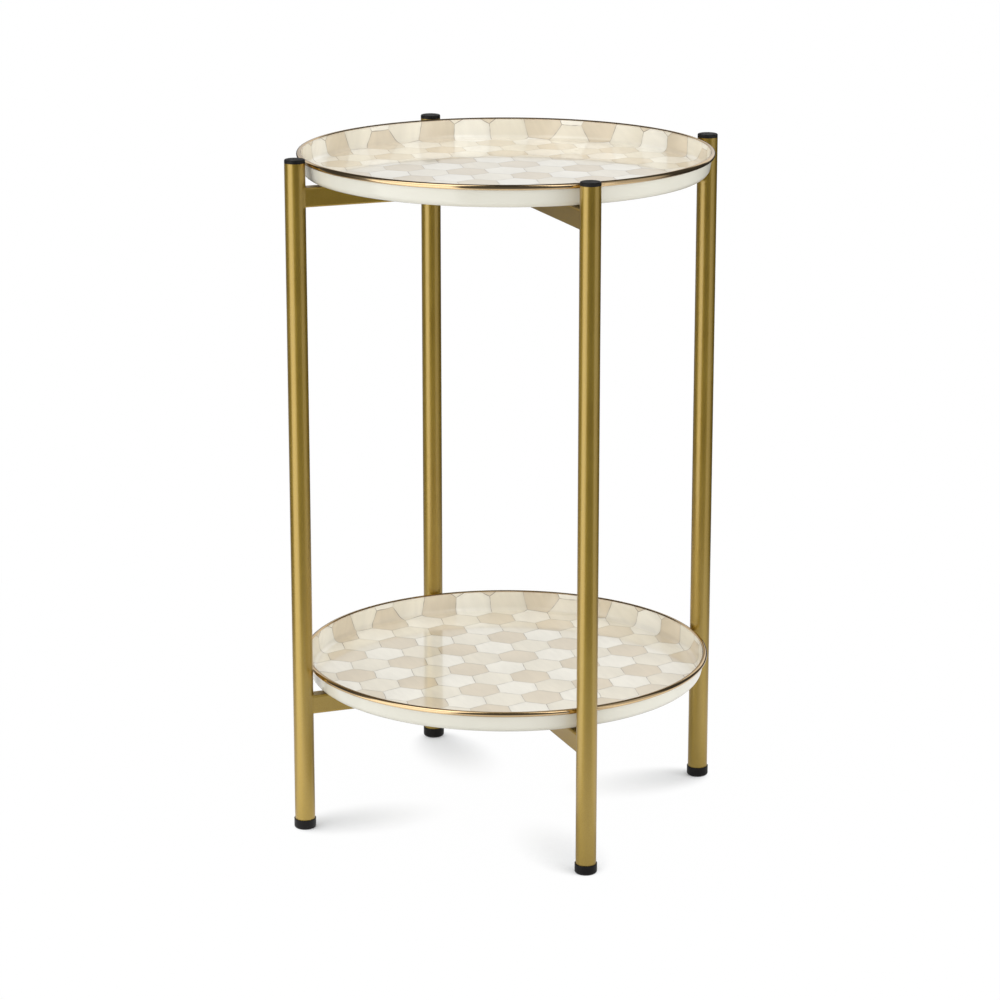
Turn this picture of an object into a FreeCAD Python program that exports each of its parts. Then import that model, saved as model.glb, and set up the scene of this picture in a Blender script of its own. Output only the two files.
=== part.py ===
import FreeCAD, Part
import math
import os
import Sketcher

# Tiered side table: four tube legs, two crosses of rectangular tube, two loose round trays.
# +Z is up and the origin is on the floor, under the middle of the trays.

# Driving sizes, in millimetres
sizes = {
    # Legs: round tube, standing in cup feet and closed by plugs
    "leg_diameter": 20.0,
    "leg_wall": 1.2,
    "leg_length": 666.5,
    # Feet: push-on cups
    "foot_floor": 3.0,
    "foot_height": 10.0,
    "foot_wall": 0.85,
    "foot_clearance": 0.05,
    "foot_edge": 2.5,
    # Plugs: a low head on a hollow stem with barbed ribs
    "plug_head": 3.5,
    "plug_edge": 1.2,
    "plug_stem": 14.0,
    "plug_wall": 1.4,
    "plug_barb": 0.7,
    "plug_barb_length": 2.0,
    "plug_clearance": 0.05,
    # Cross bars: rectangular tube on edge, welded to the legs
    "bar_height": 19.0,
    "bar_width": 15.0,
    "bar_wall": 1.2,
    "bar_corner": 2.0,
    "weld_gap": 0.1,
    "lower_bar_rise": 120.0,
    "upper_bar_drop": 23.5,
    # Rest pads on the bars
    "pad_diameter": 10.0,
    "pad_thickness": 1.5,
    "pad_taper": 0.6,
    "pad_inset": 53.0,
    # Trays: pressed sheet with a leaning wall and an outward curl
    "tray_height": 22.5,
    "tray_sheet": 1.6,
    "tray_corner": 7.5,
    "tray_lean": 3.2,
    # Rims: a channel over the top and the outside of the curl
    "rim_diameter": 406.0,
    "rim_bead": 5.2,
    "rim_sheet": 0.6,
    "rim_fit": 0.15,
    "rim_lip_gap": 0.6,
    "rim_lip_drop": 0.9,
    "rim_clearance": 1.5,
    # Least radius left inside a bend
    "least_round": 0.2,
}
barb_count = 3
same_place = 0.001

# Lengths that follow from the driving sizes
leg_circle = "(Sizes.rim_diameter / 2 + Sizes.rim_clearance + Sizes.leg_diameter / 2)"
leg_bore = "(Sizes.leg_diameter / 2 - Sizes.leg_wall)"
leg_top = "(Sizes.foot_floor + Sizes.leg_length)"
bar_butt = "(Sizes.bar_width / 2 + Sizes.weld_gap)"
pad_reach = "(Sizes.rim_diameter / 2 - Sizes.pad_inset)"
bar_bases = {
    "lower": "Sizes.lower_bar_rise",
    "upper": f"({leg_top} - Sizes.upper_bar_drop - Sizes.bar_height)",
}
curl_radius = "(Sizes.rim_bead / 2 - Sizes.rim_sheet - Sizes.rim_fit)"
curl_reach = "(Sizes.rim_diameter / 2 - Sizes.rim_bead / 2)"
curl_height = "(Sizes.tray_height - Sizes.rim_bead / 2)"
wall_inside = f"({curl_reach} - {curl_radius})"
wall_outside = f"({wall_inside} + Sizes.tray_sheet)"

# The turn about Z, in degrees from +X, that points at each leg
sides = {"left": 180, "front": -90, "right": 0, "back": 90}

doc = FreeCAD.newDocument("side_table")
sheet = doc.addObject("Spreadsheet::Sheet", "Sizes")
for row, (alias, number) in enumerate(sizes.items(), start=1):
    sheet.set(f"A{row}", alias)
    sheet.set(f"B{row}", str(number))
    sheet.setAlias(f"B{row}", alias)
doc.recompute()

sub_parts = []
upright = FreeCAD.Vector(0, 0, 1)


def value(expression):
    return float(sheet.evalExpression(expression))


def new_body(label):
    body = doc.addObject("PartDesign::Body", label)
    body.Label = label
    sub_parts.append(body)
    return body


def new_sketch(body, name, role):
    sketch = body.newObject("Sketcher::SketchObject", name)
    plane = next(item for item in body.Origin.OriginFeatures if item.Role == role)
    sketch.AttachmentSupport = [(plane, "")]
    sketch.MapMode = "FlatFace"
    return sketch


# A curve's points in a sketch are 1 for its start, 2 for its end and 3 for its centre.
# Curve -1 is the sketch's level axis, which starts at the origin, and -2 is its upright axis.
def bind(sketch, expression, *constraint):
    index = sketch.addConstraint(Sketcher.Constraint(*constraint, value(expression)))
    sketch.setExpression(f"Constraints[{index}]", expression)


def pin(sketch, curve, point, kind, expression):
    # Ties one point of a curve to the sketch's origin, across (DistanceX) or up (DistanceY)
    number = value(expression)
    if number == 0:
        axis = -2 if kind == "DistanceX" else -1
        sketch.addConstraint(Sketcher.Constraint("PointOnObject", curve, point, axis))
    elif number > 0:
        bind(sketch, expression, kind, -1, 1, curve, point)
    else:
        bind(sketch, f"-({expression})", kind, curve, point, -1, 1)


def pin_point(sketch, curve, point, across, up):
    pin(sketch, curve, point, "DistanceX", across)
    pin(sketch, curve, point, "DistanceY", up)


def join_ends(sketch, curve, point, other, other_point):
    sketch.addConstraint(Sketcher.Constraint("Coincident", curve, point, other, other_point))


def add_loop(sketch, corners):
    # A closed outline of straight lines through corners given as pairs of expressions
    spots = [FreeCAD.Vector(value(across), value(up), 0) for across, up in corners]
    lines = [sketch.addGeometry(Part.LineSegment(a, b)) for a, b in zip(spots, spots[1:] + spots[:1])]
    for line, after in zip(lines, lines[1:] + lines[:1]):
        join_ends(sketch, line, 2, after, 1)
    for line, (across, up) in zip(lines, corners):
        pin_point(sketch, line, 1, across, up)


def add_circle(sketch, across, up, diameter):
    centre = FreeCAD.Vector(value(across), value(up), 0)
    ring = sketch.addGeometry(Part.Circle(centre, upright, value(diameter) / 2))
    pin_point(sketch, ring, 3, across, up)
    bind(sketch, diameter, "Diameter", ring)


def turn_profile(body, sketch):
    # A full turn about the body's own Z axis
    turned = body.newObject("PartDesign::Revolution", "Turned")
    turned.Profile = sketch
    turned.ReferenceAxis = (sketch, ["V_Axis"])
    turned.Angle = 360
    doc.recompute()
    return turned


def round_edges(body, base, radius, wanted):
    names = [f"Edge{i}" for i, edge in enumerate(base.Shape.Edges, start=1) if wanted(edge)]
    rounded = body.newObject("PartDesign::Fillet", "Rounded")
    rounded.Base = (base, names)
    rounded.setExpression("Radius", radius)
    doc.recompute()
    return rounded


def is_ring(reach, height):
    # Picks the circular edge of a turned piece at a given radius and height
    def wanted(edge):
        if not isinstance(edge.Curve, Part.Circle):
            return False
        same_reach = abs(edge.Curve.Radius - value(reach)) < same_place
        return same_reach and abs(edge.Curve.Center.z - value(height)) < same_place
    return wanted


def is_long_edge(offset):
    # Picks the edges along a bar at a given distance to either side of its middle
    def wanted(edge):
        start, end = (vertex.Point for vertex in edge.Vertexes)
        level = start.isEqual(FreeCAD.Vector(start.x, end.y, end.z), same_place)
        return level and abs(abs(start.y) - value(offset)) < same_place
    return wanted


def place(body, height, turn=0):
    # On the table's own axis
    body.Placement = FreeCAD.Placement(FreeCAD.Vector(), FreeCAD.Rotation(upright, turn))
    body.setExpression("Placement.Base.z", height)


def place_out(body, side, reach, height):
    # At a reach from the table's axis, towards one leg
    place(body, height)
    body.setExpression("Placement.Base.x", f"{reach} * cos({sides[side]})")
    body.setExpression("Placement.Base.y", f"{reach} * sin({sides[side]})")


def make_leg(side):
    body = new_body(f"leg_{side}")
    section = new_sketch(body, "Section", "XY_Plane")
    add_circle(section, "0", "0", "Sizes.leg_diameter")
    add_circle(section, "0", "0", f"2 * {leg_bore}")
    tube = body.newObject("PartDesign::Pad", "Tube")
    tube.Profile = section
    tube.setExpression("Length", "Sizes.leg_length")
    place_out(body, side, leg_circle, "Sizes.foot_floor")


def make_foot(side):
    body = new_body(f"foot_{side}")
    bore = "(Sizes.leg_diameter / 2 + Sizes.foot_clearance)"
    outside = f"({bore} + Sizes.foot_wall)"
    profile = new_sketch(body, "Profile", "XZ_Plane")
    add_loop(profile, [
        ("0", "0"),
        (outside, "0"),
        (outside, "Sizes.foot_height"),
        (bore, "Sizes.foot_height"),
        (bore, "Sizes.foot_floor"),
        ("0", "Sizes.foot_floor"),
    ])
    cup = turn_profile(body, profile)
    round_edges(body, cup, "Sizes.foot_edge", is_ring(outside, "0"))
    place_out(body, side, leg_circle, "0")


def make_plug(side):
    body = new_body(f"plug_{side}")
    barb = f"({leg_bore} - Sizes.plug_clearance)"
    stem = f"({barb} - Sizes.plug_barb)"
    hollow = f"({stem} - Sizes.plug_wall)"
    head = "Sizes.leg_diameter / 2"
    head_top = "(Sizes.plug_stem + Sizes.plug_head)"
    corners = [(hollow, "0"), (stem, "0")]
    for number in range(barb_count):
        barb_top = f"Sizes.plug_stem * {number + 1} / {barb_count + 1}"
        corners.append((stem, f"{barb_top} - Sizes.plug_barb_length"))
        corners.append((barb, barb_top))
        corners.append((stem, barb_top))
    corners += [
        (stem, "Sizes.plug_stem"),
        (head, "Sizes.plug_stem"),
        (head, head_top),
        ("0", head_top),
        ("0", "Sizes.plug_stem"),
        (hollow, "Sizes.plug_stem"),
    ]
    profile = new_sketch(body, "Profile", "XZ_Plane")
    add_loop(profile, corners)
    plug = turn_profile(body, profile)
    round_edges(body, plug, "Sizes.plug_edge", is_ring(head, head_top))
    place_out(body, side, leg_circle, f"{leg_top} - Sizes.plug_stem")


def make_bar(label, base, turn, whole):
    # A whole bar spans two legs. A half bar runs from the whole bar's side to one leg.
    body = new_body(label)
    section = new_sketch(body, "Section", "YZ_Plane")
    outside = "Sizes.bar_width / 2"
    inside = "(Sizes.bar_width / 2 - Sizes.bar_wall)"
    top = "Sizes.bar_height"
    under = "Sizes.bar_wall"
    over = "(Sizes.bar_height - Sizes.bar_wall)"
    add_loop(section, [(f"-{outside}", "0"), (outside, "0"), (outside, top), (f"-{outside}", top)])
    add_loop(section, [(f"-{inside}", under), (inside, under), (inside, over), (f"-{inside}", over)])
    tube = body.newObject("PartDesign::Pad", "Tube")
    tube.Profile = section
    if whole:
        tube.SideType = "Symmetric"
        tube.setExpression("Length", f"2 * {leg_circle}")
        ends = [f"-{leg_circle}", leg_circle]
    else:
        section.setExpression("AttachmentOffset.Base.z", bar_butt)
        tube.setExpression("Length", f"{leg_circle} - {bar_butt}")
        ends = [leg_circle]
    doc.recompute()
    inner_round = "max(Sizes.bar_corner - Sizes.bar_wall; Sizes.least_round)"
    outer = round_edges(body, tube, "Sizes.bar_corner", is_long_edge(outside))
    round_edges(body, outer, inner_round, is_long_edge(inside))
    # The end is cut to the leg's round, so that it seats on the tube all over
    saddle = new_sketch(body, "Saddle", "XY_Plane")
    for end in ends:
        add_circle(saddle, end, "0", "Sizes.leg_diameter + 2 * Sizes.weld_gap")
    cut = body.newObject("PartDesign::Pocket", "SaddleCut")
    cut.Profile = saddle
    cut.Type = "ThroughAll"
    cut.SideType = "Symmetric"
    place(body, base, turn)


def make_pad(label, side, height):
    body = new_body(label)
    edge = "Sizes.pad_diameter / 2"
    top = "Sizes.pad_thickness"
    profile = new_sketch(body, "Profile", "XZ_Plane")
    add_loop(profile, [("0", "0"), (edge, "0"), (f"({edge} - Sizes.pad_taper)", top), ("0", top)])
    turn_profile(body, profile)
    place_out(body, side, pad_reach, height)


def make_tray(label, height):
    body = new_body(label)
    floor_reach = f"({wall_outside} - Sizes.tray_lean)"
    lean_share = f"({curl_height} - Sizes.tray_sheet) / {curl_height}"
    dish_reach = f"({wall_inside} - Sizes.tray_lean * {lean_share})"
    profile = new_sketch(body, "Profile", "XZ_Plane")
    add_loop(profile, [
        ("0", "0"),
        (floor_reach, "0"),
        (wall_outside, curl_height),
        (wall_inside, curl_height),
        (dish_reach, "Sizes.tray_sheet"),
        ("0", "Sizes.tray_sheet"),
    ])
    dish = turn_profile(body, profile)
    bend_inside = "max(Sizes.tray_corner - Sizes.tray_sheet; Sizes.least_round)"
    bent = round_edges(body, dish, "Sizes.tray_corner", is_ring(floor_reach, "0"))
    round_edges(body, bent, bend_inside, is_ring(dish_reach, "Sizes.tray_sheet"))
    curl = new_sketch(body, "Curl", "XZ_Plane")
    add_circle(curl, curl_reach, curl_height, f"2 * {curl_radius}")
    turn_profile(body, curl)
    place(body, height)


def make_rim(label, height):
    # A channel over the curl: its outer lip ends below, beside the wall, its inner lip just past the top
    body = new_body(label)
    lip = f"({wall_outside} + Sizes.rim_lip_gap)"
    lip_height = "(Sizes.tray_height - Sizes.rim_lip_drop)"
    centre = FreeCAD.Vector(value(curl_reach), value(curl_height), 0)
    section = new_sketch(body, "Channel", "XZ_Plane")
    arcs = []
    for diameter in ("Sizes.rim_bead", "(Sizes.rim_bead - 2 * Sizes.rim_sheet)"):
        radius = value(diameter) / 2
        start = -math.acos((value(lip) - centre.x) / radius)
        end = math.pi - math.asin((value(lip_height) - centre.y) / radius)
        circle = Part.Circle(centre, upright, radius)
        arc = section.addGeometry(Part.ArcOfCircle(circle, start, end))
        pin_point(section, arc, 3, curl_reach, curl_height)
        bind(section, diameter, "Diameter", arc)
        pin(section, arc, 1, "DistanceX", lip)
        pin(section, arc, 2, "DistanceY", lip_height)
        arcs.append(arc)
    outer, inner = arcs
    for point in (1, 2):
        ends = [section.getPoint(arc, point) for arc in arcs]
        edge = section.addGeometry(Part.LineSegment(*ends))
        join_ends(section, outer, point, edge, 1)
        join_ends(section, inner, point, edge, 2)
    turn_profile(body, section)
    place(body, height)


def build_legs():
    for side in sides:
        make_leg(side)
        make_foot(side)
        make_plug(side)


def build_tier(tier):
    base = bar_bases[tier]
    bar_top = f"({base} + Sizes.bar_height)"
    tray_base = f"({bar_top} + Sizes.pad_thickness)"
    make_bar(f"{tier}_bar_long", base, 0, True)
    for side in ("front", "back"):
        make_bar(f"{tier}_bar_{side}", base, sides[side], False)
    for side in sides:
        make_pad(f"{tier}_pad_{side}", side, bar_top)
    make_tray(f"{tier}_tray", tray_base)
    make_rim(f"{tier}_tray_rim", tray_base)


build_legs()
build_tier("lower")
build_tier("upper")
doc.recompute()

for item in doc.Objects:
    if {"Invalid", "Error"} & set(item.State):
        raise RuntimeError(f"{item.Label} failed: {item.State}")
for body in sub_parts:
    if body.Shape.isNull() or not body.Shape.isValid():
        raise RuntimeError(f"{body.Label} has no valid solid")

os.makedirs("parts", exist_ok=True)
for body in sub_parts:
    body.Shape.exportStep(f"parts/{body.Label}.step")
    box = body.Shape.BoundBox
    heights = f"z {box.ZMin:.2f} to {box.ZMax:.2f}"
    print(f"{body.Label}: {len(body.Shape.Solids)} solid, {body.Shape.Volume:.1f} mm3, {heights}")
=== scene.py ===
import math

import bmesh
import bpy
from mathutils import Matrix, Vector


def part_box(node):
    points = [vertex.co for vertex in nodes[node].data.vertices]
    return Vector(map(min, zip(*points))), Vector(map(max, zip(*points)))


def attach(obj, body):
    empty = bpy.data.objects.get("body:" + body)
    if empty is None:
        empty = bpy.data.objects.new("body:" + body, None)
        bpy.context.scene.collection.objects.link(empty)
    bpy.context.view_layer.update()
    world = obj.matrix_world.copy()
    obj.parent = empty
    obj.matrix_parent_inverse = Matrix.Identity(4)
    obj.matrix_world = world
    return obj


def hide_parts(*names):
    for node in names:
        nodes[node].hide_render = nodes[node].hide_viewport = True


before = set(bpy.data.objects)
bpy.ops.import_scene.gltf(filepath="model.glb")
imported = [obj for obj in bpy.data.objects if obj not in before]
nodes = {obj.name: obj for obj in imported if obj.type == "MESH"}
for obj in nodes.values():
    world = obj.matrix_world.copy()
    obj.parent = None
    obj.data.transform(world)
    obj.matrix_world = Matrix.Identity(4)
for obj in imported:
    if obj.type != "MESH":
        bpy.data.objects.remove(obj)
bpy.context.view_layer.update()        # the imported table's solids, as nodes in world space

# Tiered side table: satin gold tube frame, black plugs and feet, two enamelled trays with polished rims.
# Settings are in millimetres and degrees, meshes in metres.
mm = 0.001
joinGap = 0.002 * mm     # points closer than this are one point
roundSteps = 8           # segments of a rounded corner
sharpAngle = 50          # edges sharper than this aren't smoothed over
sides = ("left", "front", "right", "back")
tiers = ("lower", "upper")
noiseLow, noiseHigh = 0.3, 0.7    # most of a noise texture lies between these


def linearColour(code):
    # sRGB hex to the linear values that shaders take
    parts = [int(code[i:i + 2], 16) / 255 for i in (1, 3, 5)]
    parts = [p / 12.92 if p <= 0.04045 else ((p + 0.055) / 1.055) ** 2.4 for p in parts]
    return (*parts, 1.0)


def perMetre(size):
    # Texture scale for a pattern whose repeat is this many millimetres
    return 1 / (size * mm)


def addNode(tree, kind, inputs=None, **settings):
    # A socket given as an input is linked, anything else is set as its value
    node = tree.nodes.new(kind)
    for name, setting in settings.items():
        setattr(node, name, setting)
    for name, source in (inputs or {}).items():
        if isinstance(source, bpy.types.NodeSocket):
            tree.links.new(source, node.inputs[name])
        else:
            node.inputs[name].default_value = source
    return node


def newMaterial(name, constants):
    material = bpy.data.materials.new(name)
    material.use_nodes = True
    shader = material.node_tree.nodes["Principled BSDF"]
    for socket, setting in constants.items():
        shader.inputs[socket].default_value = setting
    return material, material.node_tree, shader


# Satin gold lacquer on steel tube: sprayed metallic coat, so soft wide highlights, fine flake, no brush lines
goldLook = {
    "pale": "#B29539",
    "deep": "#A98A2C",
    "edge": "#D2B878",      # the gloss stays gold at a glancing view
    "cloud": 60.0,          # slow drift of the coat
    "flake": 0.8,           # really about 0.05, drawn coarse enough to show
    "drift": (0.7, 1.3),    # cloud and flake added up, where deep and where pale
    "peel": 2.0,            # orange peel of the sprayed coat
    "peelDepth": 0.004,
    "roughness": (0.38, 0.46),
}


def satinGoldLacquer():
    look = goldLook
    material, tree, shader = newMaterial("satinGoldLacquer", {
        "Metallic": 0.83,
        "Coat Weight": 1.0,
        "Coat IOR": 1.65,
        "Coat Roughness": 0.22,
        "Specular Tint": linearColour(look["edge"]),
    })
    coords = addNode(tree, "ShaderNodeTexCoord").outputs["Object"]
    cloud = addNode(tree, "ShaderNodeTexNoise", {
        "Vector": coords,
        "Scale": perMetre(look["cloud"]),
        "Detail": 3.0,
    })
    flake = addNode(tree, "ShaderNodeTexNoise", {
        "Vector": coords,
        "Scale": perMetre(look["flake"]),
        "Detail": 1.0,
    })
    peel = addNode(tree, "ShaderNodeTexNoise", {
        "Vector": coords,
        "Scale": perMetre(look["peel"]),
        "Detail": 2.0,
    })
    drift = addNode(tree, "ShaderNodeMath", {0: cloud.outputs[0], 1: flake.outputs[0]}, operation="ADD")
    allDeep, allPale = look["drift"]
    share = addNode(tree, "ShaderNodeMapRange", {0: drift.outputs[0], 1: allDeep, 2: allPale})
    tone = addNode(tree, "ShaderNodeMix", {
        0: share.outputs[0],
        6: linearColour(look["deep"]),
        7: linearColour(look["pale"]),
    }, data_type="RGBA")
    low, high = look["roughness"]
    rough = addNode(tree, "ShaderNodeMapRange", {
        0: cloud.outputs[0],
        1: noiseLow,
        2: noiseHigh,
        3: low,
        4: high,
    })
    bump = addNode(tree, "ShaderNodeBump", {
        "Strength": 1.0,
        "Distance": look["peelDepth"] * mm,
        "Height": peel.outputs[0],
    })
    tree.links.new(tone.outputs[2], shader.inputs["Base Color"])
    tree.links.new(rough.outputs[0], shader.inputs["Roughness"])
    tree.links.new(bump.outputs[0], shader.inputs["Normal"])
    return material


# Bronzed steel, rolled and polished: near mirror, with the slow waviness of bent metal and fine buffing marks
rimLook = {
    "colour": "#E5CAA1",
    "dull": "#D1B285",
    "wave": 26.0,
    "waveDepth": 0.012,
    "buff": 1.2,            # really finer, drawn coarse enough to show
    "buffDepth": 0.0012,
    "roughness": (0.06, 0.13),
}


def polishedBronze():
    look = rimLook
    material, tree, shader = newMaterial("polishedBronze", {"Metallic": 1.0})
    coords = addNode(tree, "ShaderNodeTexCoord").outputs["Object"]
    wave = addNode(tree, "ShaderNodeTexNoise", {
        "Vector": coords,
        "Scale": perMetre(look["wave"]),
        "Detail": 1.0,
    })
    buff = addNode(tree, "ShaderNodeTexNoise", {
        "Vector": coords,
        "Scale": perMetre(look["buff"]),
        "Detail": 3.0,
    })
    tone = addNode(tree, "ShaderNodeMix", {
        0: buff.outputs[0],
        6: linearColour(look["dull"]),
        7: linearColour(look["colour"]),
    }, data_type="RGBA")
    low, high = look["roughness"]
    rough = addNode(tree, "ShaderNodeMapRange", {
        0: buff.outputs[0],
        1: noiseLow,
        2: noiseHigh,
        3: high,
        4: low,
    })
    slow = addNode(tree, "ShaderNodeBump", {
        "Strength": 1.0,
        "Distance": look["waveDepth"] * mm,
        "Height": wave.outputs[0],
    })
    fine = addNode(tree, "ShaderNodeBump", {
        "Strength": 1.0,
        "Distance": look["buffDepth"] * mm,
        "Height": buff.outputs[0],
        "Normal": slow.outputs[0],
    })
    tree.links.new(tone.outputs[2], shader.inputs["Base Color"])
    tree.links.new(rough.outputs[0], shader.inputs["Roughness"])
    tree.links.new(fine.outputs[0], shader.inputs["Normal"])
    return material


# Porcelain enamel on steel: thick fired glass, so a hard gloss over a slightly uneven off-white
enamelLook = {
    "pale": "#E4E3D9",
    "warm": "#DEDCCF",
    "cloud": 45.0,
    "peel": 7.0,
    "peelDepth": 0.012,
}


def whiteEnamel():
    look = enamelLook
    material, tree, shader = newMaterial("whiteEnamel", {"Roughness": 0.14, "IOR": 1.5, "Coat Weight": 0.1})
    coords = addNode(tree, "ShaderNodeTexCoord").outputs["Object"]
    cloud = addNode(tree, "ShaderNodeTexNoise", {
        "Vector": coords,
        "Scale": perMetre(look["cloud"]),
        "Detail": 3.0,
    })
    peel = addNode(tree, "ShaderNodeTexNoise", {
        "Vector": coords,
        "Scale": perMetre(look["peel"]),
        "Detail": 2.0,
    })
    tone = addNode(tree, "ShaderNodeMix", {
        0: cloud.outputs[0],
        6: linearColour(look["warm"]),
        7: linearColour(look["pale"]),
    }, data_type="RGBA")
    bump = addNode(tree, "ShaderNodeBump", {
        "Strength": 1.0,
        "Distance": look["peelDepth"] * mm,
        "Height": peel.outputs[0],
    })
    tree.links.new(tone.outputs[2], shader.inputs["Base Color"])
    tree.links.new(bump.outputs[0], shader.inputs["Normal"])
    return material


# Inside of the trays: six-sided cells brushed on by hand in cream and beige washes, fired under a clear glaze
cellLook = {
    "cell": 38.0,           # across the flats
    "turn": 11.0,
    "wobble": 24.0,         # the hand's drift along a line
    "wobbleReach": 2.4,
    "line": 0.55,           # half the width of a drawn line
    "lineSolid": 0.4,       # the share of it that has the full colour
    "lineColour": "#A3978A",
    "dry": 11.0,            # a line fades and comes back over this length
    "drySpan": (0.35, 0.6),
    "ink": (0.25, 0.9),     # a line where the brush ran dry, and where it was full
    "pool": 5.0,            # pigment gathers this far in from a line
    "poolShade": 0.955,
    "streak": (7.0, 26.0),  # brush marks, across and along
    "streakTurn": 30.0,     # against the cells
    "streakJump": 40.0,     # no cell's marks run on into the next
    "washLean": 1.1,        # how much a wash thins towards one side of its cell
    "washSpan": (0.2, 0.85),
    "washShade": (1.04, 0.93),
    "washes": 3,            # taken in turn from cell to cell
    "stray": 0.34,          # how far chance moves a cell on towards the next wash
    "lastTone": 2.4,        # the washes' number at the last of the tones
    "tones": ("#F8F4E8", "#F5F0E1", "#EFE8D6", "#DDCEB3", "#E5DAC5"),
    "peel": 9.0,
    "peelDepth": 0.010,
}


def paintedEnamel():
    look = cellLook
    material, tree, shader = newMaterial("paintedEnamel", {
        "Roughness": 0.12,
        "IOR": 1.5,
        "Coat Weight": 0.5,
        "Coat Roughness": 0.04,
    })
    half = (0.5, math.sqrt(0.75), 0.5)    # half the repeat of a grid, with cells one unit across the flats
    step = (0.5, math.sqrt(0.75), 0.0)    # from one grid to the other
    middling = (0.5, 0.5, 0.5)            # what chance and noise lie around, and what rounding adds
    flat = addNode(tree, "ShaderNodeUVMap", uv_map="dish").outputs[0]

    # Cell coordinates, one unit across the flats, with the drift of a hand-held brush
    drift = addNode(tree, "ShaderNodeTexNoise", {
        "Vector": flat,
        "Scale": perMetre(look["wobble"]),
        "Detail": 2.0,
    })
    centred = addNode(tree, "ShaderNodeVectorMath", {
        0: drift.outputs[1],
        1: middling,
    }, operation="SUBTRACT")
    reach = look["wobbleReach"] * mm
    pushed = addNode(tree, "ShaderNodeVectorMath", {
        0: centred.outputs[0],
        1: (reach, reach, 0.0),
        2: flat,
    }, operation="MULTIPLY_ADD")
    cells = addNode(tree, "ShaderNodeMapping", {
        0: pushed.outputs[0],
        2: (0.0, 0.0, math.radians(look["turn"])),
        3: (perMetre(look["cell"]),) * 3,
    }).outputs[0]

    # The nearer centre of the two interleaved grids that make a honeycomb
    wrapped = []
    for shift in ((0.0, 0.0, 0.0), step):
        moved = addNode(tree, "ShaderNodeVectorMath", {0: cells, 1: shift}, operation="SUBTRACT")
        wrap = addNode(tree, "ShaderNodeVectorMath", {
            0: moved.outputs[0],
            1: half,
            2: tuple(-part for part in half),
        }, operation="WRAP")
        length = addNode(tree, "ShaderNodeVectorMath", {0: wrap.outputs[0]}, operation="LENGTH")
        wrapped.append((wrap.outputs[0], length.outputs[1]))
    (first, firstReach), (second, secondReach) = wrapped
    nearer = addNode(tree, "ShaderNodeMath", {0: firstReach, 1: secondReach}, operation="LESS_THAN")
    inCell = addNode(tree, "ShaderNodeMix", {
        0: nearer.outputs[0],
        4: second,
        5: first,
    }, data_type="VECTOR").outputs[1]

    # The cell's address: its middle, counted in half repeats and rounded
    middle = addNode(tree, "ShaderNodeVectorMath", {0: cells, 1: inCell}, operation="SUBTRACT")
    counted = addNode(tree, "ShaderNodeVectorMath", {
        0: middle.outputs[0],
        1: (*half[:2], 1.0),
    }, operation="DIVIDE")
    lifted = addNode(tree, "ShaderNodeVectorMath", {0: counted.outputs[0], 1: middling}, operation="ADD")
    address = addNode(tree, "ShaderNodeVectorMath", {0: lifted.outputs[0]}, operation="FLOOR").outputs[0]
    chance = addNode(tree, "ShaderNodeTexWhiteNoise", {"Vector": address}, noise_dimensions="3D")

    # How far a point is from its cell's edge, in millimetres
    size = addNode(tree, "ShaderNodeVectorMath", {0: inCell}, operation="ABSOLUTE").outputs[0]
    slanted = addNode(tree, "ShaderNodeVectorMath", {0: size, 1: step}, operation="DOT_PRODUCT")
    across = addNode(tree, "ShaderNodeSeparateXYZ", {0: size})
    outward = addNode(tree, "ShaderNodeMath", {
        0: slanted.outputs[1],
        1: across.outputs[0],
    }, operation="MAXIMUM")
    inward = addNode(tree, "ShaderNodeMath", {0: 0.5, 1: outward.outputs[0]}, operation="SUBTRACT")
    edge = addNode(tree, "ShaderNodeMath", {
        0: inward.outputs[0],
        1: look["cell"],
    }, operation="MULTIPLY").outputs[0]

    # Three washes in turn, so that no cell has the tone of its neighbour, each a little off by chance
    alongRow, betweenRows = 0.5, -1.5    # one wash on or back from cell to cell
    offStep = 0.25                       # keeps whole numbers clear of the rounding
    order = addNode(tree, "ShaderNodeVectorMath", {
        0: address,
        1: (alongRow, betweenRows, 0.0),
    }, operation="DOT_PRODUCT")
    raised = addNode(tree, "ShaderNodeMath", {0: order.outputs[1], 1: offStep}, operation="ADD")
    turnOf = addNode(tree, "ShaderNodeMath", {
        0: raised.outputs[0],
        1: look["washes"],
    }, operation="FLOORED_MODULO")
    group = addNode(tree, "ShaderNodeMath", {0: turnOf.outputs[0]}, operation="FLOOR")
    spread = addNode(tree, "ShaderNodeMath", {
        0: chance.outputs[0],
        1: look["stray"],
        2: group.outputs[0],
    }, operation="MULTIPLY_ADD")
    pick = addNode(tree, "ShaderNodeMath", {0: spread.outputs[0], 1: look["lastTone"]}, operation="DIVIDE")
    ramp = addNode(tree, "ShaderNodeValToRGB", {0: pick.outputs[0]})
    stops = ramp.color_ramp.elements
    for number, tone in enumerate(look["tones"]):
        place = number / (len(look["tones"]) - 1)
        stop = stops[number] if number < 2 else stops.new(place)    # a new ramp has two stops
        stop.position = place
        stop.color = linearColour(tone)

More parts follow.
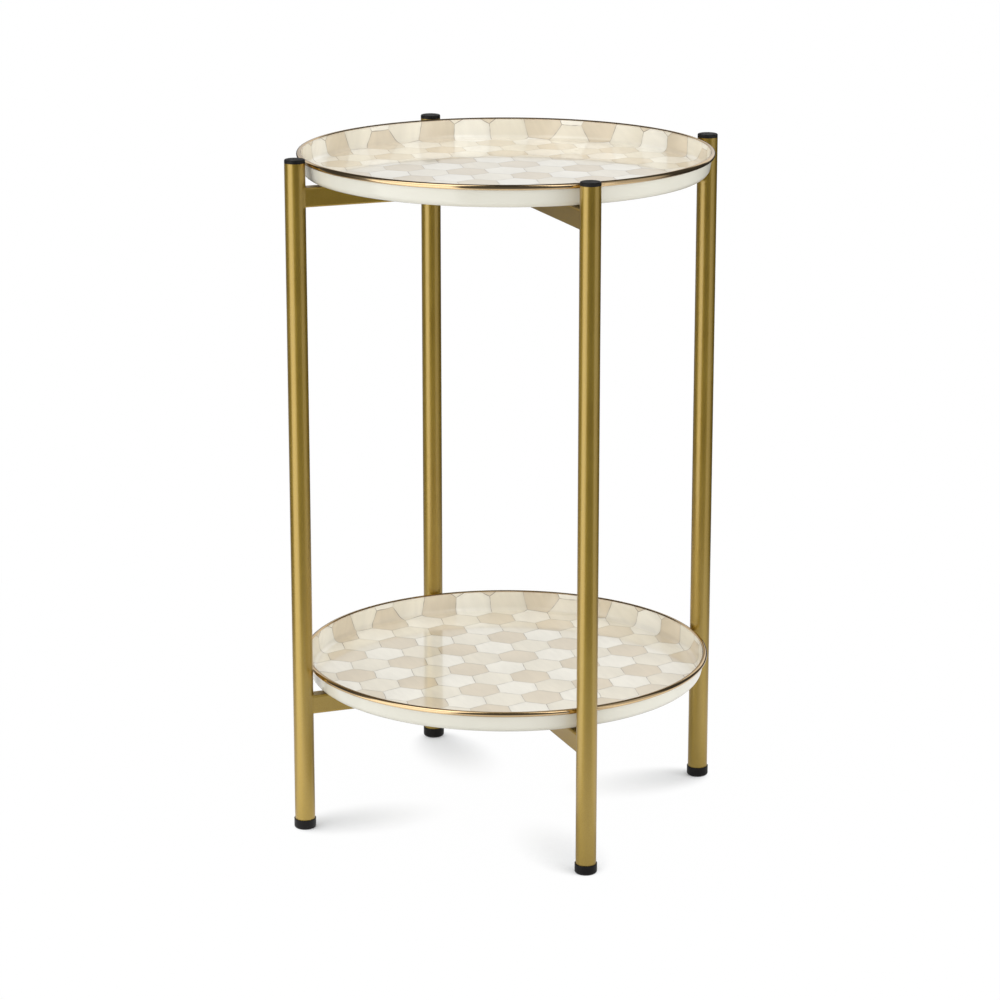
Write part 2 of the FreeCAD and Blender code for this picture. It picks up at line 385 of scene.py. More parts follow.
    # Each wash thins out towards one side of its cell, with brush streaks, and darkens where it pools
    lean = addNode(tree, "ShaderNodeVectorMath", {0: chance.outputs[1], 1: middling}, operation="SUBTRACT")
    thin = addNode(tree, "ShaderNodeVectorMath", {0: lean.outputs[0], 1: inCell}, operation="DOT_PRODUCT")
    acrossStreak, alongStreak = look["streak"]
    brushed = addNode(tree, "ShaderNodeMapping", {
        0: flat,
        2: (0.0, 0.0, math.radians(look["turn"] + look["streakTurn"])),
        3: (perMetre(acrossStreak), perMetre(alongStreak), 1.0),
    })
    jumped = addNode(tree, "ShaderNodeVectorMath", {
        0: chance.outputs[1],
        1: (look["streakJump"],) * 3,
        2: brushed.outputs[0],
    }, operation="MULTIPLY_ADD")
    streak = addNode(tree, "ShaderNodeTexNoise", {"Vector": jumped.outputs[0], "Scale": 1.0, "Detail": 3.0})
    wash = addNode(tree, "ShaderNodeMath", {
        0: thin.outputs[1],
        1: look["washLean"],
        2: streak.outputs[0],
    }, operation="MULTIPLY_ADD")
    thinnest, thickest = look["washSpan"]
    lightest, darkest = look["washShade"]
    veil = addNode(tree, "ShaderNodeMapRange", {
        0: wash.outputs[0],
        1: thinnest,
        2: thickest,
        3: lightest,
        4: darkest,
    })
    washed = addNode(tree, "ShaderNodeVectorMath", {
        0: ramp.outputs[0],
        3: veil.outputs[0],
    }, operation="SCALE")
    pooled = addNode(tree, "ShaderNodeMapRange", {
        0: edge,
        1: 0.0,
        2: look["pool"],
        3: look["poolShade"],
        4: 1.0,
    }, interpolation_type="SMOOTHSTEP")
    body = addNode(tree, "ShaderNodeVectorMath", {
        0: washed.outputs[0],
        3: pooled.outputs[0],
    }, operation="SCALE")

    # Thin drawn line between the cells, fading where the brush ran dry
    stroke = addNode(tree, "ShaderNodeMapRange", {
        0: edge,
        1: look["line"] * look["lineSolid"],
        2: look["line"],
        3: 1.0,
        4: 0.0,
    }, interpolation_type="SMOOTHSTEP")
    dry = addNode(tree, "ShaderNodeTexNoise", {
        "Vector": flat,
        "Scale": perMetre(look["dry"]),
        "Detail": 2.0,
    })
    driest, wettest = look["drySpan"]
    faint, full = look["ink"]
    ink = addNode(tree, "ShaderNodeMapRange", {0: dry.outputs[0], 1: driest, 2: wettest, 3: faint, 4: full})
    drawn = addNode(tree, "ShaderNodeMath", {0: stroke.outputs[0], 1: ink.outputs[0]}, operation="MULTIPLY")
    lined = addNode(tree, "ShaderNodeMix", {
        0: drawn.outputs[0],
        6: body.outputs[0],
        7: linearColour(look["lineColour"]),
    }, data_type="RGBA")

    peel = addNode(tree, "ShaderNodeTexNoise", {
        "Vector": flat,
        "Scale": perMetre(look["peel"]),
        "Detail": 2.0,
    })
    bump = addNode(tree, "ShaderNodeBump", {
        "Strength": 1.0,
        "Distance": look["peelDepth"] * mm,
        "Height": peel.outputs[0],
    })
    tree.links.new(lined.outputs[2], shader.inputs["Base Color"])
    tree.links.new(bump.outputs[0], shader.inputs["Normal"])
    tree.links.new(bump.outputs[0], shader.inputs["Coat Normal"])
    return material


# Moulded black plastic and rubber: dark, a fine spark-eroded grain, and dust-grey where it has been rubbed
blackLook = {
    "plug": {"dark": "#151413", "worn": "#211F1E", "roughness": (0.45, 0.58), "grain": 0.35, "depth": 0.012},
    "foot": {"dark": "#100E0D", "worn": "#1A1817", "roughness": (0.36, 0.5), "grain": 0.5, "depth": 0.012},
}
rubLook = {"patch": 6.0, "span": (0.45, 0.75)}


def mouldedBlack(name, look):
    material, tree, shader = newMaterial(name, {"IOR": 1.49, "Specular IOR Level": 0.25})
    coords = addNode(tree, "ShaderNodeTexCoord").outputs["Object"]
    grain = addNode(tree, "ShaderNodeTexNoise", {
        "Vector": coords,
        "Scale": perMetre(look["grain"]),
        "Detail": 2.0,
    })
    rub = addNode(tree, "ShaderNodeTexNoise", {
        "Vector": coords,
        "Scale": perMetre(rubLook["patch"]),
        "Detail": 3.0,
    })
    unworn, worn = rubLook["span"]
    share = addNode(tree, "ShaderNodeMapRange", {0: rub.outputs[0], 1: unworn, 2: worn})
    tone = addNode(tree, "ShaderNodeMix", {
        0: share.outputs[0],
        6: linearColour(look["dark"]),
        7: linearColour(look["worn"]),
    }, data_type="RGBA")
    low, high = look["roughness"]
    rough = addNode(tree, "ShaderNodeMapRange", {
        0: rub.outputs[0],
        1: noiseLow,
        2: noiseHigh,
        3: low,
        4: high,
    })
    bump = addNode(tree, "ShaderNodeBump", {
        "Strength": 1.0,
        "Distance": look["depth"] * mm,
        "Height": grain.outputs[0],
    })
    tree.links.new(tone.outputs[2], shader.inputs["Base Color"])
    tree.links.new(rough.outputs[0], shader.inputs["Roughness"])
    tree.links.new(bump.outputs[0], shader.inputs["Normal"])
    return material


# Clear polyurethane bumpers: soft, water-clear, with a faint haze
padLook = {"tint": "#F1F3F1", "haze": 1.5, "roughness": (0.08, 0.22)}


def clearPolyurethane():
    material, tree, shader = newMaterial("clearPolyurethane", {"IOR": 1.49, "Transmission Weight": 0.9})
    coords = addNode(tree, "ShaderNodeTexCoord").outputs["Object"]
    haze = addNode(tree, "ShaderNodeTexNoise", {
        "Vector": coords,
        "Scale": perMetre(padLook["haze"]),
        "Detail": 2.0,
    })
    low, high = padLook["roughness"]
    rough = addNode(tree, "ShaderNodeMapRange", {
        0: haze.outputs[0],
        1: noiseLow,
        2: noiseHigh,
        3: low,
        4: high,
    })
    shader.inputs["Base Color"].default_value = linearColour(padLook["tint"])
    tree.links.new(rough.outputs[0], shader.inputs["Roughness"])
    return material


goldMaterial = satinGoldLacquer()
bronzeMaterial = polishedBronze()
whiteMaterial = whiteEnamel()
paintedMaterial = paintedEnamel()
plugMaterial = mouldedBlack("blackPolypropylene", blackLook["plug"])
footMaterial = mouldedBlack("blackRubber", blackLook["foot"])
padMaterial = clearPolyurethane()
print("materials made:", len(bpy.data.materials))


def drawOutline(bm, corners):
    # A wire in the XZ plane through (reach, height, corner radius), its corners rounded
    places = [Vector((reach, 0, height)) for reach, height, _ in corners]
    spots = [bm.verts.new(place) for place in places]
    for start, end in zip(spots, spots[1:]):
        bm.edges.new((start, end))
    for number in range(1, len(corners) - 1):
        radius = corners[number][2]
        if radius:
            before, here, after = places[number - 1:number + 2]
            angle = (before - here).angle(after - here)
            bmesh.ops.bevel(bm, geom=[spots[number]], offset=radius / math.tan(angle / 2),
                            offset_type="OFFSET", segments=roundSteps, profile=0.5, affect="VERTICES",
                            material=-1)


def drawArc(bm, centre, radius, start, sweep, steps):
    # An arc in the XZ plane, from a start angle above the X axis, turning clockwise
    begin = math.radians(start)
    tip = bm.verts.new((centre[0] + radius * math.cos(begin), 0, centre[1] + radius * math.sin(begin)))
    bmesh.ops.spin(bm, geom=[tip], cent=(centre[0], 0, centre[1]), axis=(0, 1, 0), dvec=(0, 0, 0),
                   angle=math.radians(sweep), steps=steps)


def turnOutline(bm, steps):
    # A full turn of the wire about Z, closed at its seam and at its poles
    bmesh.ops.spin(bm, geom=bm.verts[:] + bm.edges[:], cent=(0, 0, 0), axis=(0, 0, 1), dvec=(0, 0, 0),
                   angle=2 * math.pi, steps=steps, use_merge=True)
    bmesh.ops.remove_doubles(bm, verts=bm.verts[:], dist=joinGap)
    bmesh.ops.recalc_face_normals(bm, faces=bm.faces[:])


def finishPiece(name, bm, place, body, materials, standsFor=()):
    # The place goes into the mesh, so the object itself stays at the origin
    bmesh.ops.transform(bm, matrix=place, verts=bm.verts[:])
    mesh = bpy.data.meshes.new(name)
    bm.to_mesh(mesh)
    bm.free()
    mesh.shade_smooth()
    mesh.set_sharp_from_angle(angle=math.radians(sharpAngle))
    for material in materials:
        mesh.materials.append(material)
    piece = bpy.data.objects.new(name, mesh)
    bpy.context.scene.collection.objects.link(piece)
    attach(piece, body)
    if standsFor:
        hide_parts(*standsFor)


# Carried-over solids: legs, bars, plugs and feet keep their shape and get their finish
nodeMaterials = {"leg_": goldMaterial, "plug_": plugMaterial, "foot_": footMaterial}
for name, node in nodes.items():
    finish = goldMaterial if "_bar_" in name else None
    for start, material in nodeMaterials.items():
        if name.startswith(start):
            finish = material
    if finish:
        for materialSlot in node.material_slots:
            materialSlot.material = finish
print("solids finished")


# Trays: pressed steel, enamelled all over, the edge curled outwards under the rim
traySettings = {
    "sheet": 1.6,
    "corner": 7.5,          # outer radius of the bend between floor and wall
    "lean": 3.2,            # how far the wall leans out on its way up
    "bead": 5.2,            # the rim's own width
    "beadSheet": 0.6,
    "fit": 0.15,            # between rim and curl
    "lipGap": 0.6,          # between the rim's outer lip and the wall
    "lipDrop": 0.9,         # from the rim's top to the end of its inner lip
}
turnSteps = 320             # round the tray
curlSteps = 18
beadSteps = 26


def makeTray(tier):
    size = {key: length * mm for key, length in traySettings.items()}
    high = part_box(f"{tier}_tray_rim")[1]
    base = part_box(f"{tier}_tray")[0].z
    curlRadius = size["bead"] / 2 - size["beadSheet"] - size["fit"]
    curlReach = high.x - size["bead"] / 2
    curlHeight = high.z - base - size["bead"] / 2
    wallInside = curlReach - curlRadius
    wallOutside = wallInside + size["sheet"]
    leanShare = (curlHeight - size["sheet"]) / curlHeight
    underCurl = math.degrees(math.acos((wallOutside - curlReach) / curlRadius))
    wallTop = curlHeight - curlRadius * math.sin(math.radians(underCurl))

    bm = bmesh.new()
    drawOutline(bm, [
        (0, size["sheet"], 0),
        (wallInside - size["lean"] * leanShare, size["sheet"], size["corner"] - size["sheet"]),
        (wallInside, curlHeight, 0),
    ])
    drawArc(bm, (curlReach, curlHeight), curlRadius, 180, 180 + underCurl, curlSteps)
    drawOutline(bm, [
        (wallOutside, wallTop, 0),
        (wallOutside - size["lean"], 0, size["corner"]),
        (0, 0, 0),
    ])
    bmesh.ops.remove_doubles(bm, verts=bm.verts[:], dist=joinGap)
    splitFloor(bm, size["corner"])
    run = measureRun(bm, size["sheet"])
    turnOutline(bm, turnSteps)

    # The painted side lies flat in the UV map: a point's reach there is its way out along the dish
    flat = bm.loops.layers.uv.new("dish")
    for face in bm.faces:
        face.material_index = 0 if all(vert[run] >= 0 for vert in face.verts) else 1
        for loop in face.loops:
            spot = loop.vert.co
            bearing = math.atan2(spot.y, spot.x)
            loop[flat].uv = (loop.vert[run] * math.cos(bearing), loop.vert[run] * math.sin(bearing))
    finishPiece(f"{tier}_tray_enamelled", bm, Matrix.Translation((0, 0, base)), f"{tier}_tier",
                [paintedMaterial, whiteMaterial], [f"{tier}_tray"])


def splitFloor(bm, longest):
    # Long straight stretches get points in between, so that no face is a sliver
    for edge in [edge for edge in bm.edges if edge.calc_length() > 2 * longest]:
        bmesh.ops.subdivide_edges(bm, edges=[edge], cuts=int(edge.calc_length() / (2 * longest)))


def measureRun(bm, sheet):
    # Walks the wire from the middle of the dish and notes the way out, or -1 once over the top
    run = bm.verts.layers.float.new("run")
    here = next(vert for vert in bm.verts if vert.co.x < joinGap and vert.co.z > sheet / 2)
    summit = max(vert.co.z for vert in bm.verts)
    length, came, over = 0, None, False
    while here:
        here[run] = -1 if over else length
        over = over or here.co.z > summit - joinGap
        ways = [edge for edge in here.link_edges if edge is not came]
        if not ways:
            break
        came = ways[0]
        length += came.calc_length()
        here = came.other_vert(here)
    return run


# Rims: a channel over the top and the outside of the curl
def makeRim(tier):
    size = {key: length * mm for key, length in traySettings.items()}
    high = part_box(f"{tier}_tray_rim")[1]
    outer = size["bead"] / 2
    inner = outer - size["beadSheet"]
    centre = (high.x - outer, high.z - outer)
    wallOutside = centre[0] - (inner - size["fit"]) + size["sheet"]
    outerLip = wallOutside + size["lipGap"] - centre[0]
    innerLip = outer - size["lipDrop"]
    bm = bmesh.new()
    starts, ends = [], []
    for radius in (outer, inner):
        start = math.pi - math.asin(innerLip / radius)
        end = -math.acos(outerLip / radius)
        drawArc(bm, centre, radius, math.degrees(start), math.degrees(start - end), beadSteps)
        starts.append((centre[0] + radius * math.cos(start), centre[1] + radius * math.sin(start), 0))
        ends.append((centre[0] + radius * math.cos(end), centre[1] + radius * math.sin(end), 0))
    drawOutline(bm, starts)
    drawOutline(bm, ends)
    bmesh.ops.remove_doubles(bm, verts=bm.verts[:], dist=joinGap)
    turnOutline(bm, turnSteps)
    finishPiece(f"{tier}_rim_bead", bm, Matrix(), f"{tier}_tier",
                [bronzeMaterial], [f"{tier}_tray_rim"])


for tier in tiers:
    makeTray(tier)
    makeRim(tier)
print("trays and rims made")


# Rest pads: clear bumpers with a soft crown
padSettings = {
    "edge": 0.7,            # radius of the upper edge
    "crown": 0.25,          # how far the edge lies in and below the top
    "lift": 0.05,           # off the bar by a hair, so that the bar shows through
    "steps": 40,
}


def makePad(tier, side):
    low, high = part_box(f"{tier}_pad_{side}")
    reach = (high.x - low.x) / 2
    tall = high.z - low.z
    edge, crown, lift = (padSettings[key] * mm for key in ("edge", "crown", "lift"))
    bm = bmesh.new()
    drawOutline(bm, [
        (0, lift, 0),
        (reach, lift, 0),
        (reach - crown, tall - crown, edge),
        (0, tall, 0),
    ])
    turnOutline(bm, padSettings["steps"])
    middle = (low + high) / 2
    finishPiece(f"{tier}_pad_{side}_clear", bm, Matrix.Translation((middle.x, middle.y, low.z)), "frame",
                [padMaterial], [f"{tier}_pad_{side}"])


for tier in tiers:
    for side in sides:
        makePad(tier, side)
print("pads made")


# Welds: small ground fillets where a bar meets a leg, and in the four corners of each cross
weldSettings = {
    "throat": 1.4,
    "sink": 0.4,            # how far the metal reaches into leg and bar
    "corner": 2.0,          # the bar's own corner radius
    "cornerSteps": 4,
    "arc": 5,               # steps of the fillet's curve
    "cuts": 7,              # points along each straight side of the bar
}


def makeLegWeld(tier, side, turn):
    throat, sink, corner = (weldSettings[key] * mm for key in ("throat", "sink", "corner"))
    legLow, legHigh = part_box(f"leg_{side}")
    barLow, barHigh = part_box(f"{tier}_bar_long")
    legRadius = (legHigh.x - legLow.x) / 2
    legReach = ((legLow + legHigh) / 2).xy.length
    width, height = barHigh.y - barLow.y, barHigh.z - barLow.z
    coreY, coreZ = width / 2 - corner, height / 2 - corner

    # The bar's outline, with points along it so that it can follow the leg's round
    bm = bmesh.new()
    bmesh.ops.create_grid(bm, x_segments=1, y_segments=1, size=0.5)
    bmesh.ops.transform(bm, matrix=Matrix(((0, 0, 1, 0), (width, 0, 0, 0), (0, height, 0, 0), (0, 0, 0, 1))),
                        verts=bm.verts[:])
    bmesh.ops.bevel(bm, geom=bm.verts[:], offset=corner, offset_type="OFFSET",
                    segments=weldSettings["cornerSteps"], profile=0.5, affect="VERTICES", material=-1)
    straight = [edge for edge in bm.edges if edge.calc_length() > 2 * corner]
    bmesh.ops.subdivide_edges(bm, edges=straight, cuts=weldSettings["cuts"])
    bmesh.ops.delete(bm, geom=bm.faces[:], context="FACES_ONLY")

    # Rings of the fillet: how far each stands out from the bar, and how far back from the leg
    rings = [(-sink, throat)]
    for number in range(weldSettings["arc"] + 1):
        angle = math.pi / 2 * number / weldSettings["arc"]
        rings.append((throat - throat * math.cos(angle), throat - throat * math.sin(angle)))
    rings += [(throat, -sink), (-sink, -sink)]
    ring = bm.edges[:]
    loops = [ring]
    for _ in rings[1:]:
        grown = bmesh.ops.extrude_edge_only(bm, edges=ring)["geom"]
        edges = [item for item in grown if isinstance(item, bmesh.types.BMEdge)]
        ring = [edge for edge in edges if not shareVert(edge, loops[-1])]
        loops.append(ring)
    for ring, (out, back) in zip(loops, rings):
        for vert in {vert for edge in ring for vert in edge.verts}:
            core = Vector((0, max(-coreY, min(coreY, vert.co.y)), max(-coreZ, min(coreZ, vert.co.z))))
            spot = core + (vert.co - core).normalized() * (corner + out)
            spot.x = legReach - math.sqrt(legRadius ** 2 - spot.y ** 2) - back
            vert.co = spot
    bmesh.ops.bridge_loops(bm, edges=loops[0] + loops[-1])
    bmesh.ops.recalc_face_normals(bm, faces=bm.faces[:])
    raised = Matrix.Translation((0, 0, (barLow.z + barHigh.z) / 2))
    place = raised @ Matrix.Rotation(math.radians(turn), 4, "Z")
    finishPiece(f"{tier}_weld_{side}", bm, place, "frame", [goldMaterial])


def shareVert(edge, others):
    taken = {vert for other in others for vert in other.verts}
    return any(vert in taken for vert in edge.verts)


def makeCrossWeld(tier):
    # Upright fillets in the four corners where the half bars butt against the long bar
    throat, sink, corner = (weldSettings[key] * mm for key in ("throat", "sink", "corner"))
    barLow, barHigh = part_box(f"{tier}_bar_long")
    side = (barHigh.y - barLow.y) / 2
    base, tall = barLow.z + corner, barHigh.z - barLow.z - 2 * corner
    bm = bmesh.new()
    drawArc(bm, (throat, throat), throat, 270, 90, weldSettings["arc"])
    drawOutline(bm, [
        (0, throat, 0),
        (-sink, throat, 0),
        (-sink, -sink, 0),
        (throat, -sink, 0),
        (throat, 0, 0),
    ])
    bmesh.ops.remove_doubles(bm, verts=bm.verts[:], dist=joinGap)
    bmesh.ops.contextual_create(bm, geom=bm.edges[:])
    grown = bmesh.ops.extrude_face_region(bm, geom=bm.faces[:])["geom"]
    bmesh.ops.translate(bm, vec=(0, tall, 0), verts=onlyVerts(grown))
    bmesh.ops.transform(bm, matrix=Matrix(((1, 0, 0, side), (0, 0, 1, side), (0, 1, 0, base), (0, 0, 0, 1))),
                        verts=bm.verts[:])
    first = bm.verts[:] + bm.edges[:] + bm.faces[:]
    for turn in (90, 180, 270):
        copied = bmesh.ops.duplicate(bm, geom=first)["geom"]
        bmesh.ops.rotate(bm, matrix=Matrix.Rotation(math.radians(turn), 3, "Z"), verts=onlyVerts(copied))
    bmesh.ops.recalc_face_normals(bm, faces=bm.faces[:])
    finishPiece(f"{tier}_weld_cross", bm, Matrix(), "frame", [goldMaterial])


def onlyVerts(geom):
    return [item for item in geom if isinstance(item, bmesh.types.BMVert)]


for tier in tiers:
    makeCrossWeld(tier)
    for side, turn in zip(sides, (180, -90, 0, 90)):
        makeLegWeld(tier, side, turn)
print("welds made")


# Camera where the photograph was taken from
cameraSettings = {
    "yaw": 21.04,           # how far it stands to the left of the front leg
    "pitch": 15.275,        # looking down
    "distance": 3225.1,     # from the table's middle, along the floor
    "height": 1198.2,
    "aside": 5.66,          # to the left of the line to the table's middle
    "focal": 120.73,
    "sensor": 36.0,
}


def addCamera():
    view = cameraSettings
    yaw = math.radians(view["yaw"])
    lens = bpy.data.cameras.new("camera")
    lens.lens = view["focal"]
    lens.sensor_width = view["sensor"]
    camera = bpy.data.objects.new("camera", lens)
    camera.location = (
        (-view["aside"] * math.cos(yaw) - view["distance"] * math.sin(yaw)) * mm,
        (view["aside"] * math.sin(yaw) - view["distance"] * math.cos(yaw)) * mm,
        view["height"] * mm,
    )
    camera.rotation_euler = (math.radians(90 - view["pitch"]), 0, -yaw)
    bpy.context.scene.collection.objects.link(camera)
    bpy.context.scene.camera = camera


addCamera()


# Studio, in metres: white floor that keeps the shadow, soft boxes, and a glowing room that only gloss can
# see, dark with bright bands: painted reflections
studio = {
    "floorReach": 30.0,
    "floorShade": (0.85, 0.01),  # share of the floor's white that light makes, by a foot and away from it
    "footShade": 0.026,          # half width at a foot of the patch that reaches inwards from it
    "footStretch": 0.84,         # 0 makes that patch round, 1 endless
    "footTint": "#F7FAFF",       # cool, so that the gold's own light leaves the shadow grey
    "floorLight": 1.0,           # light that is enough for full white
    "floorBounce": "#E4E2DE",    # the floor as other things are lit by it
    "shadeReach": (0.55, 1.0),   # from the table's middle, where the shadow starts to fade and where it ends
    "worldLight": 0.88,
    "roomNear": (0.43, 1.28),    # the floor that gloss sees, shaded under the table and white beside it
    "nearReach": (0.08, 0.42),   # from the table's middle, where that shade ends and where white begins
    "roomFade": (0.2, 1.2),      # over this way out the room's own floor takes over
    "roomShare": 0.26,           # how much of it shows even under the table
    "roomLift": 0.002,           # above the white floor
    "roomOuter": 4.0,
    "roomTall": (4.0, 4.6),      # at the walls and in the middle
    "roomSteps": 48,
}
# Bands of the room, from the floor up: the heights over which each takes over from the one below, and its
# brightness by bearing, in degrees left of the camera; the bright stretches are painted soft-box reflections
roomBands = {
    "wall": {"turn": (0.5, 1.1), "tones": (
        (-180, 0.68), (-170, 0.74), (-162, 0.86), (-145, 1.0), (-137, 0.06), (-98, 0.06), (-90, 0.55),
        (-62, 0.6), (-55, 1.0), (-50, 0.95), (-44, 0.1), (24, 0.1), (29, 1.1), (76, 1.1), (82, 0.2),
        (100, 0.06), (137, 0.06), (145, 1.0), (162, 0.6), (170, 0.58), (180, 0.68))},
    "ceiling": {"turn": (2.4, 3.0), "tones": (
        (-180, 0.06), (-98, 0.06), (-90, 0.35), (-60, 0.35), (-52, 0.06), (-46, 0.06), (-41, 2.1),
        (-29, 2.1), (-24, 0.06), (22, 0.06), (27, 0.5), (31, 2.1), (72, 2.1), (78, 0.25), (95, 0.06),
        (180, 0.06))},
    "zenith": {"turn": (4.45, 4.55), "tones": ((-180, 0.06), (180, 0.06))},
}
# The room's floor ring by bearing: dark stretches, and bright ones that are painted soft-box reflections for
# legs and bars
floorTones = (
    (-180, 0.04), (-100, 0.04), (-90, 0.5), (-62, 0.62), (-57, 1.05), (-53, 0.95), (-48, 0.11), (24, 0.1),
    (29, 1.75), (74, 1.75), (80, 0.2), (95, 0.06), (112, 0.08), (124, 0.28), (146, 0.28), (156, 0.04),
    (180, 0.04))
lamps = {
    "keyBox": {"bearing": 54, "distance": 1.75, "height": 1.0, "size": (1.5, 2.2), "watts": 11.2},
    "topBox": {"bearing": 20, "distance": 0.35, "height": 2.3, "size": (1.7, 1.7), "watts": 4.8},
    "fillBox": {"bearing": -70, "distance": 2.0, "height": 0.9, "size": (1.4, 1.8), "watts": 13.0},
}
lampAim = Vector((0, 0, 0.4))


def bearingVector(degreesLeft):
    # Level direction from the table, measured to the left of the camera
    yaw = math.radians(cameraSettings["yaw"])
    towards = Vector((-math.sin(yaw), -math.cos(yaw), 0))
    return Matrix.Rotation(-math.radians(degreesLeft), 3, "Z") @ towards


def addLamp(name, lamp):
    light = bpy.data.lights.new(name, "AREA")
    light.shape = "RECTANGLE"
    light.size, light.size_y = lamp["size"]
    light.energy = lamp["watts"]
    box = bpy.data.objects.new(name, light)
    box.location = bearingVector(lamp["bearing"]) * lamp["distance"] + Vector((0, 0, lamp["height"]))
    box.rotation_euler = (lampAim - box.location).to_track_quat("-Z", "Y").to_euler()
    box.visible_camera = False
    box.visible_glossy = False    # gloss sees the room instead
    bpy.context.scene.collection.objects.link(box)


def seenWhite(tree):
    # 1 for rays that should meet plain white: straight from the camera, mirrored, or through glass
    path = addNode(tree, "ShaderNodeLightPath")
    mirrored = addNode(tree, "ShaderNodeMath", {
        0: path.outputs["Is Camera Ray"],
        1: path.outputs["Is Glossy Ray"],
    }, operation="MAXIMUM")
    return addNode(tree, "ShaderNodeMath", {
        0: mirrored.outputs[0],
        1: path.outputs["Is Transmission Ray"],
    }, operation="MAXIMUM").outputs[0]


def lightWorld():
    world = bpy.data.worlds.new("studioWhite")
    world.use_nodes = True
    bpy.context.scene.world = world
    tree = world.node_tree
    tree.nodes.clear()
    soft = addNode(tree, "ShaderNodeBackground", {"Color": (1, 1, 1, 1), "Strength": studio["worldLight"]})
    white = addNode(tree, "ShaderNodeBackground", {"Color": (1, 1, 1, 1), "Strength": 1.0})
    mix = addNode(tree, "ShaderNodeMixShader", {0: seenWhite(tree), 1: soft.outputs[0], 2: white.outputs[0]})
    addNode(tree, "ShaderNodeOutputWorld", {0: mix.outputs[0]})


def stageMesh(name, bm, material):
    mesh = bpy.data.meshes.new(name)
    bm.to_mesh(mesh)
    bm.free()
    mesh.materials.append(material)
    thing = bpy.data.objects.new(name, mesh)
    bpy.context.scene.collection.objects.link(thing)
    return thing


def layFloor():
    # By the feet the white is lit, so that a shadow shows; elsewhere it glows by itself
    material = bpy.data.materials.new("whiteSweep")
    material.use_nodes = True
    tree = material.node_tree
    tree.nodes.clear()
    coords = addNode(tree, "ShaderNodeTexCoord").outputs["Object"]
    reach = addNode(tree, "ShaderNodeVectorMath", {0: coords}, operation="LENGTH")
    near, far = studio["shadeReach"]
    plain = addNode(tree, "ShaderNodeMapRange", {
        0: reach.outputs[1],
        1: near,
        2: far,
    }, interpolation_type="SMOOTHSTEP")

    # The way to a foot, plus a share of the way outwards, makes an oval that has the foot near its outer end
    corner = addNode(tree, "ShaderNodeVectorMath", {0: coords}, operation="ABSOLUTE").outputs[0]
    low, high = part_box("foot_right")
    middle = (low.x + high.x) / 2
    gaps = []
    for outward in (Vector((1, 0, 0)), Vector((0, 1, 0))):
        offset = addNode(tree, "ShaderNodeVectorMath", {
            0: corner,
            1: outward * middle,
        }, operation="SUBTRACT").outputs[0]
        length = addNode(tree, "ShaderNodeVectorMath", {0: offset}, operation="LENGTH")
        along = addNode(tree, "ShaderNodeVectorMath", {
            0: offset,
            1: outward * studio["footStretch"],
        }, operation="DOT_PRODUCT")
        gap = addNode(tree, "ShaderNodeMath", {0: length.outputs[1], 1: along.outputs[1]}, operation="ADD")
        gaps.append(gap.outputs[0])
    nearest = addNode(tree, "ShaderNodeMath", {0: gaps[0], 1: gaps[1]}, operation="MINIMUM")
    most, least = studio["floorShade"]
    shade = addNode(tree, "ShaderNodeMapRange", {
        0: nearest.outputs[0],
        2: studio["footShade"],
        3: most,
        4: least,
    }, interpolation_type="SMOOTHSTEP").outputs[0]
    rest = addNode(tree, "ShaderNodeMath", {
        0: shade,
        1: -studio["floorLight"],
        2: 1.0,
    }, operation="MULTIPLY_ADD")
    tint = addNode(tree, "ShaderNodeVectorMath", {
        0: linearColour(studio["footTint"])[:3],
        3: shade,
    }, operation="SCALE")

    # Lit and glowing white together, a plain bounce for other light, and nothing at all from below
    lit = addNode(tree, "ShaderNodeBsdfDiffuse", {"Color": tint.outputs[0]})
    glow = addNode(tree, "ShaderNodeEmission", {"Color": (1, 1, 1, 1), "Strength": rest.outputs[0]})
    both = addNode(tree, "ShaderNodeAddShader", {0: lit.outputs[0], 1: glow.outputs[0]})
    white = addNode(tree, "ShaderNodeEmission", {"Color": (1, 1, 1, 1), "Strength": 1.0})
    seen = addNode(tree, "ShaderNodeMixShader", {
        0: plain.outputs[0],
        1: both.outputs[0],
        2: white.outputs[0],
    })
    bounce = addNode(tree, "ShaderNodeBsdfDiffuse", {"Color": linearColour(studio["floorBounce"])})
    mix = addNode(tree, "ShaderNodeMixShader", {0: seenWhite(tree), 1: bounce.outputs[0], 2: seen.outputs[0]})
    below = addNode(tree, "ShaderNodeNewGeometry").outputs["Backfacing"]
    clear = addNode(tree, "ShaderNodeBsdfTransparent")
    sided = addNode(tree, "ShaderNodeMixShader", {0: below, 1: mix.outputs[0], 2: clear.outputs[0]})
    addNode(tree, "ShaderNodeOutputMaterial", {0: sided.outputs[0]})
    bm = bmesh.new()
    bmesh.ops.create_grid(bm, x_segments=1, y_segments=1, size=studio["floorReach"])
    stageMesh("floor", bm, material)


def brightnessByBearing(tree, bearing, tones):
    ramp = addNode(tree, "ShaderNodeValToRGB", {0: bearing})
    stops = ramp.color_ramp.elements
    for number, (degrees, level) in enumerate(sorted(tones, reverse=True)):
        place = 0.5 - degrees / 360
        stop = stops[number] if number < 2 else stops.new(place)    # a new ramp has two stops
        stop.position = place
        stop.color = (level, level, level, 1)
    return ramp.outputs[0]


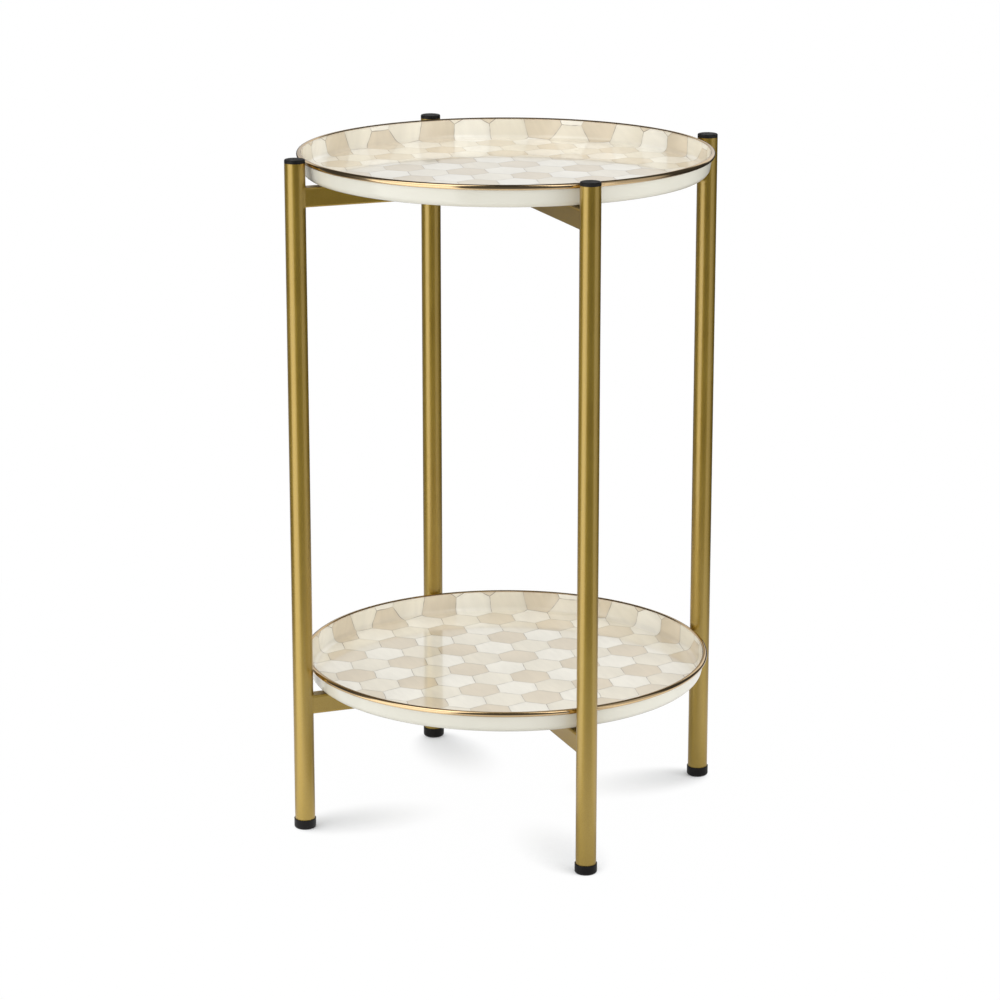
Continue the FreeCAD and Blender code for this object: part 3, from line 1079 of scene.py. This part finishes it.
def buildRoom():
    # The glowing studio round the sweep, seen only by gloss: painted reflections, whose dark bands and bright
    # soft-box bands give the metal its dark bands and highlights
    material = bpy.data.materials.new("glossRoomPaintedReflections")
    material.use_nodes = True
    tree = material.node_tree
    tree.nodes.clear()
    coords = addNode(tree, "ShaderNodeTexCoord").outputs["Object"]
    turned = addNode(tree, "ShaderNodeMapping", {
        0: coords,
        2: (0, 0, math.radians(90 + cameraSettings["yaw"])),
    })
    bearing = addNode(tree, "ShaderNodeTexGradient", {
        0: turned.outputs[0],
    }, gradient_type="RADIAL").outputs[1]
    reach = addNode(tree, "ShaderNodeVectorMath", {0: coords}, operation="LENGTH").outputs[1]
    start, end = studio["roomFade"]
    away = addNode(tree, "ShaderNodeMapRange", {
        0: reach,
        1: start,
        2: end,
        3: studio["roomShare"],
    }, interpolation_type="SMOOTHSTEP").outputs[0]
    under, beside = studio["roomNear"]
    near, far = studio["nearReach"]
    ground = addNode(tree, "ShaderNodeMapRange", {
        0: reach,
        1: near,
        2: far,
        3: under,
        4: beside,
    }, interpolation_type="SMOOTHSTEP").outputs[0]
    tones = brightnessByBearing(tree, bearing, floorTones)
    level = addNode(tree, "ShaderNodeMix", {0: away, 2: ground, 3: tones}).outputs[0]
    height = addNode(tree, "ShaderNodeSeparateXYZ", {0: coords}).outputs[2]
    for band in roomBands.values():
        low, high = band["turn"]
        share = addNode(tree, "ShaderNodeMapRange", {0: height, 1: low, 2: high}).outputs[0]
        tones = brightnessByBearing(tree, bearing, band["tones"])
        level = addNode(tree, "ShaderNodeMix", {0: share, 2: level, 3: tones}).outputs[0]
    glow = addNode(tree, "ShaderNodeEmission", {"Color": (1, 1, 1, 1), "Strength": level})
    addNode(tree, "ShaderNodeOutputMaterial", {0: glow.outputs[0]})
    bm = bmesh.new()
    atWalls, inMiddle = studio["roomTall"]
    drawOutline(bm, [
        (0, studio["roomLift"], 0),
        (studio["roomOuter"], studio["roomLift"], 0),
        (studio["roomOuter"], atWalls, 0),
        (0, inMiddle, 0),
    ])
    turnOutline(bm, studio["roomSteps"])
    room = stageMesh("room", bm, material)
    room.visible_camera = False
    room.visible_diffuse = False
    room.visible_transmission = False
    room.visible_shadow = False


lightWorld()
layFloor()
buildRoom()
for name, lamp in lamps.items():
    addLamp(name, lamp)
bpy.context.scene.view_settings.view_transform = "Standard"
print("studio set")
